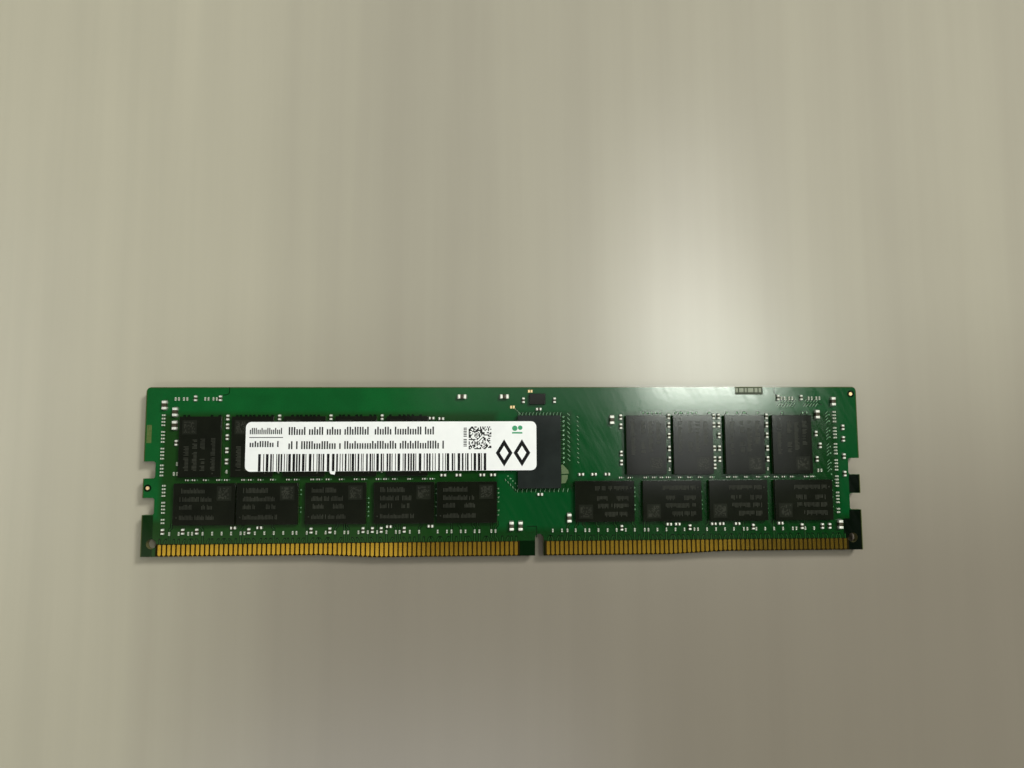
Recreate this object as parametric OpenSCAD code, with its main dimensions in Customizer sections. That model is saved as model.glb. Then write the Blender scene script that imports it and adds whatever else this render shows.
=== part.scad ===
// Registered memory module: a 288-contact edge card with memory packages on both faces.
// It lies on its rear packages: +X along the card, +Y away from the contacts, +Z out of the front.
// The origin is under the middle of the card, on the surface that the rear packages rest on.
// Places on the card are given from its left end and its lowest edge, seen from the front.

/* [Card] */
// Length of the card
board_len = 133.35; // [133:0.05:134]
// Height of the card
board_ht = 31.25; // [31.25:0.05:34]
// Thickness over both layers of solder mask
board_t = 1.4; // [1.2:0.05:1.6]
// Thickness of one layer of solder mask, and of the contacts beside it
mask_t = 0.04; // [0.03:0.01:0.06]
// Radius of the two top corners
corner_r = 0.9; // [0.2:0.1:2]
// Rise of the lower edge near the two ends
edge_step = 0.5; // [0.1:0.05:0.8]

/* [Contacts] */
// Distance from one contact to the next
contact_pitch = 0.85; // [0.8:0.01:0.86]
// Width of a contact
contact_w = 0.6; // [0.4:0.05:0.7]
// Top of the contacts, above the lowest edge
contact_top = 2.6; // [2.4:0.1:2.7]
// Gap between the lower edge and the contacts
contact_inset = 0.2; // [0.1:0.05:0.4]

/* [Notches and holes] */
// Width of the keying notch in the lower edge
key_w = 1.6; // [1.4:0.1:2]
// Height of the keying notch
key_ht = 3.95; // [3.2:0.05:4.2]
// Height of a latch notch in an end of the card
latch_ht = 3.1; // [2.8:0.1:3.4]
// Depth of a latch notch
latch_depth = 2.15; // [1.8:0.05:2.4]
// Radius inside a latch notch
latch_r = 0.45; // [0.2:0.05:0.8]
// Radius of the hole in each lower corner
hole_r = 0.9; // [0.6:0.05:1]

/* [Packages] */
// Length of a memory package
dram_len = 11.0; // [10:0.1:11]
// Width of a memory package
dram_wid = 7.5; // [7:0.1:7.5]
// Height of every ball-mounted package above the mask
package_ht = 1.1; // [1:0.05:1.3]
// Height of a solder ball once soldered
ball_ht = 0.3; // [0.2:0.05:0.4]
// Radius of a solder ball
ball_r = 0.225; // [0.15:0.025:0.25]
// Thickness of the substrate under a memory package
substrate_t = 0.2; // [0.15:0.05:0.3]
// Width of the register
register_wid = 8.0; // [7.5:0.1:8]
// Height of the register along the card's height
register_len = 13.5; // [12.8:0.1:13.5]

/* [Label] */
// Length of the label
label_len = 53.2; // [50:0.1:54]
// Height of the label
label_ht = 9.05; // [8:0.05:10]
// Thickness of the label
label_t = 0.1; // [0.06:0.02:0.16]
// Radius of its corners
label_r = 1.0; // [0.4:0.1:2]

/* [Hidden] */
eps = 0.01;
edge_flat = [42.45, 96.85];  // the stretch where the lower edge is lowest, from the left end
edge_ramp = 10.2;          // length of each ramp from a raised end to that stretch
hole_x = 1.83;             // from each end to the corner hole
hole_y = 2.75;
latch_y = [9.5, 16.1];
key_x = 72.25;
back_z = package_ht;       // the rear face of the card
front_z = back_z + board_t;
laminate_t = board_t - 2 * mask_t;

// Contacts: the left row is counted from contact 1, the right row from contact 78.
left_first_x = 3.35;
left_count = 77;
right_first_x = 73.9;
right_count = 67;
mask_window_y = contact_top + 0.15;
mask_window_side = 0.7;    // from the middle of the last contact to the side of the mask's window
left_row_x = [for (i = [0:left_count - 1]) left_first_x + i * contact_pitch];
right_row_x = [for (i = [0:right_count - 1]) right_first_x + i * contact_pitch];

// Memory packages: a lower row that lies along the card and an upper row that stands.
low_row_x = [11.4, 22.7, 35.0, 47.4, 58.9, 84.4, 97.05, 109.55, 121.95];
low_row_y = 9.9;
high_row_x = [10.3, 19.7, 29.1, 38.5, 47.9, 92.35, 101.25, 111.1, 120.15];
high_row_y = 20.27;
dram_sites = concat([for (x = low_row_x) [x, low_row_y, 0]], [for (x = high_row_x) [x, high_row_y, 90]]);
dram_count = len(dram_sites);
ball_pitch = 0.8;
dram_balls = [for (c = [-4, -3, -2, 2, 3, 4], r = [-6:6]) [r, c] * ball_pitch];

// Register, with 11 columns and 20 rows of balls, and the small sensor above it.
register_at = [72.3, 19.1];
register_substrate_t = 0.3;
register_pitch = 0.65;
register_balls_at = [for (c = [-5:5], r = [-9.5:9.5]) [c, r] * register_pitch];
spd_at = [72.05, 28.95];
spd_size = [3, 2, 0.7];
spd_pad = [0.4, 0.25, 0.05];
spd_pad_pitch = 0.5;
spd_heat_pad = [1.5, 1.3, 0.05];

// Chip parts: [length, width, height, terminal length].
large_size = [1.6, 0.8, 0.8, 0.35];
medium_size = [1.0, 0.5, 0.5, 0.25];
small_size = [0.6, 0.3, 0.3, 0.15];
resistor_size = [0.6, 0.3, 0.25, 0.15];

// Sites of the chip parts: [x, y, angle], where an angle of 90 stands the part up the card.
function across(y, xs) = [for (x = xs) [x, y, 0]];
function upright(y, xs) = [for (x = xs) [x, y, 90]];
function column(x, ys) = [for (y = ys) [x, y, 90]];
function stack(x, y, n, pitch) = [for (i = [0:n - 1]) [x, y + (i - (n - 1) / 2) * pitch, 0]];
function left_contact(n) = left_first_x + (n - 1) * contact_pitch;
function right_contact(n) = right_first_x + (n - 78) * contact_pitch;

large_sites = concat(
    [[3.5, 27.9, 90], [5.45, 26.65, 90], [5.45, 24.2, 90], [67.1, 5.45, 90], [68.75, 5.45, 90]],
    [[77.8, 6.85, 90], [86.05, 25, 90], [125.4, 25.95, 90], [128.6, 28.4, 90], [129, 5.25, 90]],
    across(29.4, [57.95, 65.85]));

// Decoupling capacitors stand in the gaps between the upper packages.
gap_rows = [25.6, 24, 22, 19.6, 17.55];
medium_sites = concat(
    [for (x = [14.95, 24.35, 33.75, 43.15, 96.85, 115.6]) each column(x, gap_rows)],
    column(105.45, [25.6, 24, 19.6, 17.6, 16.2]), column(106.4, gap_rows),
    column(87.75, [25.5, 23.8, 18.7, 17]), column(130.35, [23.45, 21.25, 18, 14.7]),
    [[5.8, 21, 90], [125.1, 22.3, 90], [125.8, 20.05, 90], [125.1, 17.5, 90]],
    [[9, 29.15, 90], [13.5, 29.15, 90], [118, 29.15, 90], [122.5, 29.15, 90]],
    [[69.45, 28.7, 90], [75.3, 28.7, 90], [72.3, 27.05, 0], [52.3, 25.4, 0], [54.1, 25.3, 0]],
    across(14.85, [54.5, 57.3, 61.7, 63.7, 80.15, 82.55, 85.05]),
    upright(4.95, [3.9, 7.5, 10, 19.3, 30.5, 33.9, 39.9, 41.6, 43.2, 47.4]),
    upright(4.95, [87.6, 100.4, 112.4, 121.7, 125.6, 127]),
    across(5.55, [16.5, 21.2, 44.6, 52.2, 96.5, 98.1, 104.9, 106.4, 109.4, 117.6]));
front_medium_sites = concat(medium_sites, [[72.45, 11.2, 0]]);
// The rear has no register: a small field of capacitors takes its place.
back_medium_sites = concat(medium_sites, [for (x = [69.2, 72.3, 75.4]) each column(x, [14:2.5:24])]);

small_sites = across(14.2, concat(
    [7.9, 9.1, 11.1, 13.5, 14.9, 18, 19.2, 20.95, 23.2, 26.1, 27.5, 30.5, 31.6, 33.3, 35.7],
    [38.4, 39.8, 42.4, 43.8, 45.4, 48.2, 50.9, 52.3],
    [87.55, 89.2, 92.2, 93.8, 95.2, 96.4, 98.7, 100.5, 102.5, 104.7, 107.9, 109.2, 111.3],
    [113.6, 115.2, 117, 118.5, 120.1, 122.8, 124]));

// Series resistors stand above the contacts of each data lane, and lanes repeat every 11 contacts.
lane = 11;
left_lane = [0, 2, 4, 4.8, 7, 9];
right_lane = [0, 2, 4, 6.2, 7, 9];
series_x = concat(
    [for (k = [0:4], c = left_lane) left_contact(3 + k * lane + c)],
    [for (c = [60, 62, 63, 65, 66, 68, 69, 71.6, 72.5]) left_contact(c)],
    [for (c = [79, 81, 82.2, 84, 86.1, 87, 89, 91]) right_contact(c)],
    [for (k = [0:3], c = right_lane) right_contact(93 + k * lane + c)], [right_contact(137)]);
series_sites = upright(4.55, series_x);
// Terminating resistors form columns at the two ends, in groups of four.
column_pitch = 0.61;
group_pitch = 5 * column_pitch;
left_columns = concat(
    [for (k = [0:3]) each stack(3.3, 16 + k * group_pitch, 4, column_pitch)],
    [for (k = [0, 1]) each stack(3.8, 9.25 + k * group_pitch, 4, column_pitch)],
    stack(3.8, 6.8, 2, column_pitch));
right_columns = concat(
    [for (k = [0:5]) each stack(128.85, 10.25 + k * group_pitch, 4, column_pitch)],
    stack(128.85, 7.8, 2, column_pitch));
// Four resistors to a cluster along the top edge.
cluster = [0, 0.6, 1.5, 2.1];
resistor_sites = concat(
    series_sites, left_columns, right_columns,
    upright(29.05, [for (x = [5.35, 10.7, 118.7, 124], c = cluster) x + c]),
    [for (x = [14.95, 24.35, 33.75, 43.15, 96.85, 115.6]) [x, 15.7, 90]],
    [[6, 17.15, 90], [5.5, 15.35, 90], [6.1, 15.35, 90], [125.3, 15.35, 90], [125.9, 15.35, 90]]);

// Bare gold on the front: two round alignment marks and two pairs of unused pads.
mark_r = 0.33;
mark_clear_r = 0.56;
marks_at = [[0.85, 12.8], [132.3, 29.88]];
spare_pads_at = [[67.4, 27.47], [70.75, 30.45]];
spare_pad = [0.34, 0.5];
spare_pad_pitch = 0.5;
spare_pad_clear = 0.06;

// Printed blocks on the mask, where a real card carries its markings.
legend_t = 0.02;
legend_row = [109.9, 30.2];
legend_blocks = [0.5, 0.9, 0.4, 1.1, 0.6, 0.5];
legend_gap = 0.2;
legend_ht = 0.8;
side_window = [[0.3, 21], [0.9, 3.3]];   // a strip at the left end that has no mask

label_at = [45.15, 20.22];

function two_digits(i) = str(i < 10 ? "0" : "", i);
function dram_name(face, i) = str("dram_", face, "_", two_digits(i));

// Height of the lower edge at x, from the left end.
function edge_y(x) =
    edge_step * min(1, max(0, (edge_flat[0] - x) / edge_ramp, (x - edge_flat[1]) / edge_ramp));

// Everything is placed from the card's lower left corner, then moved to the middle.
module on_card() {
    translate([-board_len / 2, -board_ht / 2, 0]) children();
}

module front_face() {
    on_card() translate([0, 0, front_z]) children();
}

// The rear carries the mirror image of the front.
module back_face() {
    on_card() translate([0, 0, back_z]) mirror([0, 0, 1]) children();
}

module at_sites(sites) {
    for (s = sites) translate([s[0], s[1], 0]) rotate(s[2]) children();
}

module both_ends() {
    children();
    translate([board_len, 0]) mirror([1, 0]) children();
}

module block(size, z = 0) {
    translate([-size[0] / 2, -size[1] / 2, z]) cube(size);
}

// ---- the card ----

module corner_waste() {
    translate([corner_r, board_ht - corner_r]) difference() {
        translate([-corner_r - eps, 0]) square(corner_r + eps);
        circle(corner_r, $fn = 48);
    }
}

module latch_notch(y) {
    translate([-eps, y - latch_ht / 2]) square([latch_depth - latch_r + eps, latch_ht]);
    translate([-eps, y - latch_ht / 2 + latch_r]) square([latch_depth + eps, latch_ht - 2 * latch_r]);
    for (side = [-1, 1]) {
        translate([latch_depth - latch_r, y + side * (latch_ht / 2 - latch_r)]) circle(latch_r, $fn = 48);
    }
}

module key_notch() {
    translate([key_x - key_w / 2, -eps]) square([key_w, key_ht - key_w / 2 + eps]);
    translate([key_x, key_ht - key_w / 2]) circle(key_w / 2, $fn = 48);
}

module card_outline() {
    difference() {
        polygon([[0, edge_step], [edge_flat[0] - edge_ramp, edge_step], [edge_flat[0], 0],
            [edge_flat[1], 0], [edge_flat[1] + edge_ramp, edge_step], [board_len, edge_step],
            [board_len, board_ht], [0, board_ht]]);
        both_ends() {
            corner_waste();
            for (y = latch_y) latch_notch(y);
        }
        key_notch();
    }
}

module pcb_laminate() {
    color("#6f7a3c") on_card() translate([0, 0, back_z + mask_t]) linear_extrude(laminate_t) difference() {
        card_outline();
        both_ends() translate([hole_x, hole_y]) circle(hole_r, $fn = 64);
    }
}

// The mask leaves the contacts and the laminate between them bare.
module mask_outline() {
    window_x = left_row_x[0] - mask_window_side;
    window_end = right_row_x[right_count - 1] + mask_window_side;
    difference() {
        card_outline();
        translate([window_x, -eps]) square([window_end - window_x, mask_window_y + eps]);
        both_ends() translate([hole_x, hole_y]) circle(hole_r, $fn = 64);
    }
}

module solder_mask_front() {
    color("#145c2e") front_face() translate([0, 0, -mask_t]) linear_extrude(mask_t) difference() {
        mask_outline();
        for (p = marks_at) translate(p) circle(mark_clear_r, $fn = 48);
        for (p = spare_pads_at) translate(p) square(
            [spare_pad_pitch + spare_pad[0] + 2 * spare_pad_clear, spare_pad[1] + 2 * spare_pad_clear],
            center = true);
        translate(side_window[0]) square(side_window[1]);
    }
}

module solder_mask_back() {
    color("#145c2e") back_face() translate([0, 0, -mask_t]) linear_extrude(mask_t) mask_outline();
}

module contacts() {
    for (x = concat(left_row_x, right_row_x)) {
        low = edge_y(x) + contact_inset;
        translate([x - contact_w / 2, low, -mask_t]) cube([contact_w, contact_top - low, mask_t]);
    }
}

module contacts_front() {
    color("#d2a63c") front_face() contacts();
}

module contacts_back() {
    color("#d2a63c") back_face() contacts();
}

module bare_pads() {
    color("#d2a63c") front_face() translate([0, 0, -mask_t]) {
        for (p = marks_at) translate(p) cylinder(r = mark_r, h = mask_t, $fn = 32);
        for (p = spare_pads_at, side = [-1, 1]) {
            translate([p[0] + side * spare_pad_pitch / 2, p[1], 0])
                block([spare_pad[0], spare_pad[1], mask_t]);
        }
    }
}

// ---- memory packages ----

module dram_mould() {
    base = ball_ht + substrate_t;
    block([dram_len, dram_wid, package_ht - base], base);
}

module dram_front(i) {
    color("#23241f") front_face() at_sites([dram_sites[i - 1]]) dram_mould();
}

module dram_back(i) {
    color("#23241f") back_face() at_sites([dram_sites[i - 1]]) dram_mould();
}

module dram_substrates() {
    at_sites(dram_sites) block([dram_len, dram_wid, substrate_t], ball_ht);
}

module dram_substrates_front() {
    color("#2c4a2a") front_face() dram_substrates();
}

module dram_substrates_back() {
    color("#2c4a2a") back_face() dram_substrates();
}

module balls(places) {
    for (p = places) translate(p) cylinder(r = ball_r, h = ball_ht, $fn = 16);
}

module dram_balls_front() {
    color("#b9bcbd") front_face() at_sites(dram_sites) balls(dram_balls);
}

module dram_balls_back() {
    color("#b9bcbd") back_face() at_sites(dram_sites) balls(dram_balls);
}

// ---- register and sensor, on the front only ----

module on_register(z) {
    front_face() translate([register_at[0], register_at[1], z]) children();
}

module register_driver() {
    base = ball_ht + register_substrate_t;
    color("#2b2d2b") on_register(base) block([register_wid, register_len, package_ht - base]);
}

module register_substrate() {
    color("#2c4a2a") on_register(ball_ht) block([register_wid, register_len, register_substrate_t]);
}

module register_balls() {
    color("#b9bcbd") on_register(0) balls(register_balls_at);
}

module spd_sensor() {
    color("#23241f") front_face() translate(spd_at)
        block([spd_size[0], spd_size[1], spd_size[2] - spd_pad[2]], spd_pad[2]);
}

// Four pads at each short end, and the bare heat pad between them.
module spd_pads() {
    color("#b9bcbd") front_face() translate(spd_at) {
        for (side = [-1, 1], row = [-1.5:1.5])
            translate([side * (spd_size[0] - spd_pad[0]) / 2, row * spd_pad_pitch, 0]) block(spd_pad);
        block(spd_heat_pad);
    }
}

// ---- chip parts ----

module chip_body(size) {
    block([size[0] - 2 * size[3], size[1], size[2]]);
}

module chip_terminals(size) {
    for (side = [-1, 1])
        translate([side * (size[0] - size[3]) / 2, 0, 0]) block([size[3], size[1], size[2]]);
}

module capacitors_large() {
    color("#8a6f52") {
        front_face() at_sites(large_sites) chip_body(large_size);
        back_face() at_sites(large_sites) chip_body(large_size);
    }
}

module capacitors_medium() {
    color("#8a6f52") {
        front_face() at_sites(front_medium_sites) chip_body(medium_size);
        back_face() at_sites(back_medium_sites) chip_body(medium_size);
    }
}

module capacitors_small() {
    color("#8a6f52") front_face() at_sites(small_sites) chip_body(small_size);
}

module resistors() {
    color("#3d4440") {
        front_face() at_sites(resistor_sites) chip_body(resistor_size);
        back_face() at_sites(series_sites) chip_body(resistor_size);
    }
}

module capacitor_terminals() {
    color("#c9c9c4") {
        front_face() {
            at_sites(large_sites) chip_terminals(large_size);
            at_sites(front_medium_sites) chip_terminals(medium_size);
            at_sites(small_sites) chip_terminals(small_size);
        }
        back_face() {
            at_sites(large_sites) chip_terminals(large_size);
            at_sites(back_medium_sites) chip_terminals(medium_size);
        }
    }
}

module resistor_terminals() {
    color("#c9c9c4") {
        front_face() at_sites(resistor_sites) chip_terminals(resistor_size);
        back_face() at_sites(series_sites) chip_terminals(resistor_size);
    }
}

// ---- printing and label ----

// Where block i of the legend starts: the blocks and gaps before it, added up.
function legend_start(i) = i == 0 ? 0 : legend_start(i - 1) + legend_blocks[i - 1] + legend_gap;

module legend_ink() {
    color("#e8e8e0") front_face() translate([legend_row[0], legend_row[1], 0]) {
        for (i = [0:len(legend_blocks) - 1]) {
            translate([legend_start(i), 0, 0]) cube([legend_blocks[i], legend_ht, legend_t]);
        }
    }
}

// The label lies on four upper packages and the register.
module label() {
    reach = [label_len / 2 - label_r, label_ht / 2 - label_r];
    color("#f7f8f3") front_face() translate([label_at[0], label_at[1], package_ht]) linear_extrude(label_t) {
        square([label_len, 2 * reach[1]], center = true);
        square([2 * reach[0], label_ht], center = true);
        for (sx = [-1, 1], sy = [-1, 1]) translate([sx * reach[0], sy * reach[1]]) circle(label_r, $fn = 48);
    }
}

pcb_laminate();
solder_mask_front();
solder_mask_back();
contacts_front();
contacts_back();
for (i = [1:dram_count]) dram_front(i);
for (i = [1:dram_count]) dram_back(i);
dram_substrates_front();
dram_substrates_back();
dram_balls_front();
dram_balls_back();
register_driver();
register_substrate();
register_balls();
spd_sensor();
spd_pads();
capacitors_large();
capacitors_medium();
capacitors_small();
resistors();
capacitor_terminals();
resistor_terminals();
bare_pads();
legend_ink();
label();
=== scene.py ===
"""Looks of a registered memory module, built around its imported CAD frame.

Everything is in metres in the card's frame: +X along the card, +Y away from the contacts, +Z out of
the front. Places on the card are written in millimetres from its left end and its lowest edge.
"""
import math
import random

import bpy
import numpy as np
from mathutils import Matrix, Vector

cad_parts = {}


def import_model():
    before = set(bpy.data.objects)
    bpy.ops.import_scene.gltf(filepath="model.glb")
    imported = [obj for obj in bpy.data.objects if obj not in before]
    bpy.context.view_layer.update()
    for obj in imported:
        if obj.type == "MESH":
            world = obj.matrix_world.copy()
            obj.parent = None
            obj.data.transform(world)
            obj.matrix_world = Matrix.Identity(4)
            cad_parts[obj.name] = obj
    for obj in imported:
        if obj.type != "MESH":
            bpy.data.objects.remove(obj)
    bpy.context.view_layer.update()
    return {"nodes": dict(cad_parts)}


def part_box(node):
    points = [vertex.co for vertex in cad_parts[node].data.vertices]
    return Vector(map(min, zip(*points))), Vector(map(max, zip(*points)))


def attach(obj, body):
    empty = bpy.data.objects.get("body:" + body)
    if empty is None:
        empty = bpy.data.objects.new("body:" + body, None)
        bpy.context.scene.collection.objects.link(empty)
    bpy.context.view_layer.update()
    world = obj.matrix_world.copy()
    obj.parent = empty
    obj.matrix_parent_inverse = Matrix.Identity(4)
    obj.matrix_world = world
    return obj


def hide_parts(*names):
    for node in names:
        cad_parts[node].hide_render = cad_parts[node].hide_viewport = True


MM = 0.001

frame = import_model()

# ---- places ----

CARD_LOW, CARD_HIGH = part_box("pcb_laminate")
FRONT_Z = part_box("solder_mask_front")[1].z
BACK_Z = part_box("solder_mask_back")[0].z


def card(x, y):
    """A place on the card as x and y in the frame."""
    return CARD_LOW.x + x * MM, CARD_LOW.y + y * MM


def on_card(x, y):
    """The place on the card, in millimetres, of x and y in the frame."""
    return (x - CARD_LOW.x) / MM, (y - CARD_LOW.y) / MM


class Face:
    """One face of the card. Heights are measured out of it, in metres."""

    def __init__(self, name, z, out):
        self.name, self.z, self.out = name, z, out

    def level(self, height):
        return self.z + self.out * height

    def top(self, low, high):
        """How far a box between two corners stands out of this face."""
        return max((low.z - self.z) * self.out, (high.z - self.z) * self.out)

    def holds(self, low, high):
        return ((low.z + high.z) / 2 - self.z) * self.out > 0


FRONT = Face("front", FRONT_Z, 1)
BACK = Face("back", BACK_Z, -1)
FACES = (FRONT, BACK)


def face_of(low, high):
    """The face that a box between two corners stands on."""
    return FRONT if FRONT.holds(low, high) else BACK


def span(low, high):
    """The centre, width and height of a box between two corners, seen from above."""
    return (low.x + high.x) / 2, (low.y + high.y) / 2, high.x - low.x, high.y - low.y


def islands(node):
    """The low and high corners of each separate solid of a CAD node."""
    mesh = frame["nodes"][node].data
    places = np.empty(len(mesh.vertices) * 3, np.float32)
    mesh.vertices.foreach_get("co", places)
    places = places.reshape(-1, 3)
    _, same = np.unique(np.round(places * 1e7).astype(np.int64), axis=0, return_inverse=True)
    same = same.ravel()
    edges = np.empty(len(mesh.edges) * 2, np.int32)
    mesh.edges.foreach_get("vertices", edges)
    ends = same[edges].reshape(-1, 2)
    group = np.arange(same.max() + 1)
    settled = False
    while not settled:
        lowest = np.minimum(group[ends[:, 0]], group[ends[:, 1]])
        joined = group.copy()
        np.minimum.at(joined, ends[:, 0], lowest)
        np.minimum.at(joined, ends[:, 1], lowest)
        joined = joined[joined]
        settled = bool((joined == group).all())
        group = joined
    _, solid = np.unique(group[same], return_inverse=True)
    solid = solid.ravel()
    low = np.full((solid.max() + 1, 3), np.inf)
    high = -low
    np.minimum.at(low, solid, places)
    np.maximum.at(high, solid, places)
    return [(Vector(a), Vector(b)) for a, b in zip(low, high)]


# ---- shapes ----

class Shape:
    """The closed solids of one piece, each lofted through rings of points."""

    def __init__(self):
        self.points, self.faces = [], []

    def loft(self, rings):
        """Rings run anticlockwise seen from the side that the loft goes to."""
        start, count = len(self.points), len(rings[0])
        for ring in rings:
            self.points.extend(ring)
        for level in range(len(rings) - 1):
            first = start + level * count
            for i in range(count):
                j = (i + 1) % count
                self.faces.append((first + i, first + j, first + count + j, first + count + i))
        last = start + (len(rings) - 1) * count
        self.faces.append(tuple(range(start + count - 1, start - 1, -1)))
        self.faces.append(tuple(range(last, last + count)))

    def stand(self, face, levels):
        """A solid on a face of the card, through (outline, height) pairs from the lowest up."""
        rings = [[(x, y, face.level(height)) for x, y in outline] for outline, height in levels]
        self.loft(rings if face.out > 0 else rings[::-1])


def rectangle(cx, cy, width, height, radius, steps):
    """Outline of a rectangle with round corners, anticlockwise."""
    radius = max(min(radius, width / 2, height / 2), 1e-7)
    corners = ((1, 1, 0), (-1, 1, 90), (-1, -1, 180), (1, -1, 270))
    outline = []
    for sx, sy, start in corners:
        for k in range(steps + 1):
            angle = math.radians(start + 90 * k / steps)
            outline.append((cx + sx * (width / 2 - radius) + radius * math.cos(angle),
                            cy + sy * (height / 2 - radius) + radius * math.sin(angle)))
    return outline


def circle(cx, cy, radius, count):
    """Outline of a circle in count points, anticlockwise."""
    turns = [2 * math.pi * k / count for k in range(count)]
    return [(cx + radius * math.cos(a), cy + radius * math.sin(a)) for a in turns]


def strip(shape, face, points, width, low, high):
    """A flat strip along points, with mitred corners, between two heights on a face."""
    points = [Vector(p) for p in points]
    ways = [(end - start).normalized() for start, end in zip(points, points[1:])]
    rings = []
    for point, before, after in zip(points, ways[:1] + ways, ways + ways[-1:]):
        mitre = (before + after).normalized()
        side = Vector((-mitre.y, mitre.x)) * width / 2 / mitre.dot(after)
        near, far = point + side, point - side
        ring = [(*p, face.level(h)) for p, h in ((near, low), (near, high), (far, high), (far, low))]
        rings.append(ring if face.out > 0 else ring[::-1])
    shape.loft(rings)


def placed(name, data):
    """A new object in the scene."""
    made = bpy.data.objects.new(name, data)
    bpy.context.scene.collection.objects.link(made)
    return made


def solids(name, shape, look):
    """A new object of a shape's solids."""
    mesh = bpy.data.meshes.new(name)
    mesh.from_pydata([tuple(p) for p in shape.points], [], shape.faces)
    mesh.materials.append(look)
    return placed(name, mesh)


def piece(name, shape, look, replaces=(), smooth_below=None):
    """Makes a piece of a shape's solids, which rides on the card."""
    made = solids(name, shape, look)
    if smooth_below:
        made.data.shade_smooth()
        made.data.set_sharp_from_angle(angle=math.radians(smooth_below))
    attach(made, "root")
    if replaces:
        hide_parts(*replaces)


# ---- materials ----

class Look:
    """A Principled material and the nodes that vary it over the surface. Textures are in millimetres."""

    def __init__(self, name, colour, roughness, **constants):
        self.material = bpy.data.materials.new(name)
        self.material.use_nodes = True
        self.nodes = self.material.node_tree.nodes
        self.links = self.material.node_tree.links
        self.shader = self.nodes["Principled BSDF"]
        self.shader.inputs["Base Color"].default_value = (*colour, 1)
        self.shader.inputs["Roughness"].default_value = roughness
        for socket, value in constants.items():
            self.shader.inputs[socket.replace("_", " ")].default_value = value
        metres = self.add("ShaderNodeTexCoord").outputs["Object"]
        scaled = self.add("ShaderNodeVectorMath", {0: metres, "Scale": 1 / MM}, operation="SCALE")
        self.place = scaled.outputs[0]

    def add(self, kind, inputs=None, **settings):
        made = self.nodes.new(kind)
        for setting, value in settings.items():
            setattr(made, setting, value)
        for socket, value in (inputs or {}).items():
            self.feed(made.inputs[socket], value)
        return made

    def feed(self, socket, value):
        if isinstance(value, bpy.types.NodeSocket):
            self.links.new(value, socket)
        else:
            socket.default_value = value

    def math(self, operation, a, b=0.0):
        return self.add("ShaderNodeMath", {0: a, 1: b}, operation=operation).outputs[0]

    def noise(self, size, detail, stretch=(1, 1, 1), rough=0.55, place=None):
        """Noise with features about size millimetres across, or less along an axis with more stretch."""
        place = place or self.place
        scaled = self.add("ShaderNodeVectorMath", {0: place, 1: stretch}, operation="MULTIPLY")
        return self.add("ShaderNodeTexNoise", {"Vector": scaled.outputs[0], "Scale": 1 / size,
                                               "Detail": detail, "Roughness": rough}).outputs["Fac"]

    def ramp(self, value, low, high, start=0.0, end=1.0, kind="LINEAR"):
        """Start to end as value goes from low to high."""
        return self.add("ShaderNodeMapRange", {0: value, 1: low, 2: high, 3: start, 4: end},
                        interpolation_type=kind).outputs[0]

    def blend(self, factor, first, second):
        """The first colour where factor is 0, the second where it is 1."""
        made = self.add("ShaderNodeMix", {"Factor": factor}, data_type="RGBA")
        for socket, colour in ((made.inputs[6], first), (made.inputs[7], second)):
            self.feed(socket, colour if isinstance(colour, bpy.types.NodeSocket) else (*colour, 1))
        return made.outputs[2]

    def axis(self, letter):
        """A coordinate in the frame, in millimetres."""
        return self.add("ShaderNodeSeparateXYZ", {0: self.place}).outputs[letter]

    def off(self, x, y):
        """How far the surface is from a place on the card, along X and along Y."""
        return [self.math("SUBTRACT", self.axis(letter), start / MM + middle)
                for letter, start, middle in (("X", CARD_LOW.x, x), ("Y", CARD_LOW.y, y))]

    def patch(self, x0, x1, y0, y1, soft=0.1):
        """1 inside a rectangle of the card, 0 outside it, in the card's millimetres."""
        sides = []
        for off, half in zip(self.off((x0 + x1) / 2, (y0 + y1) / 2), ((x1 - x0) / 2, (y1 - y0) / 2)):
            sides.append(self.ramp(self.math("ABSOLUTE", off), half + soft / 2, half - soft / 2))
        return self.math("MINIMUM", *sides)

    def disc(self, x, y, radius):
        """1 inside a circle of the card, 0 outside it, in the card's millimetres."""
        squares = [self.math("MULTIPLY", off, off) for off in self.off(x, y)]
        away = self.math("SQRT", self.math("ADD", *squares))
        return self.ramp(away, radius + 0.05, radius - 0.05)

    def colour(self, value):
        self.feed(self.shader.inputs["Base Color"], value)

    def rough(self, value):
        self.feed(self.shader.inputs["Roughness"], value)

    def bump(self, height, depth):
        """Bumps depth millimetres high, on top of any there already."""
        made = self.add("ShaderNodeBump", {"Height": height, "Distance": depth * MM, "Strength": 1.0})
        before = self.shader.inputs["Normal"].links
        if before:
            self.links.new(before[0].from_socket, made.inputs["Normal"])
        self.links.new(made.outputs[0], self.shader.inputs["Normal"])


MASK_GREEN = (0.0038, 0.099, 0.0185)
# Darker right-hand copies of the mask greens: painted shade over the right half of the card.
MASK_GREEN_SHADED_RIGHT = (0.0001, 0.058, 0.0110)
TRACKED_MASK = (0.0095, 0.044, 0.0052)
TRACKED_MASK_SHADED_RIGHT = (0.0008, 0.029, 0.0024)
# Mask without copper, left and right; the right-hand copy is darkened by painted shade. The rings around
# the round marks use it too.
BARE_MASK_LEFT = (0.0006, 0.019, 0.0008)
BARE_MASK_RIGHT = (0.0001, 0.0025, 0.0002)
EDGE_OLIVE = (0.060, 0.075, 0.018)
LEGEND_GROUND = (0.030, 0.042, 0.018)

# Areas of the card are x from and to, and y from and to.
# Solid copper pour, where the mask is brightest.
POUR_AREAS = ((-2, 135, 26.4, 33), (-2, 3.1, 7, 28), (64.4, 81, 4.9, 12), (64.4, 68.6, 4.9, 28),
              (78.3, 88.3, 13.8, 28), (129.3, 135, 7, 28))
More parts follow.
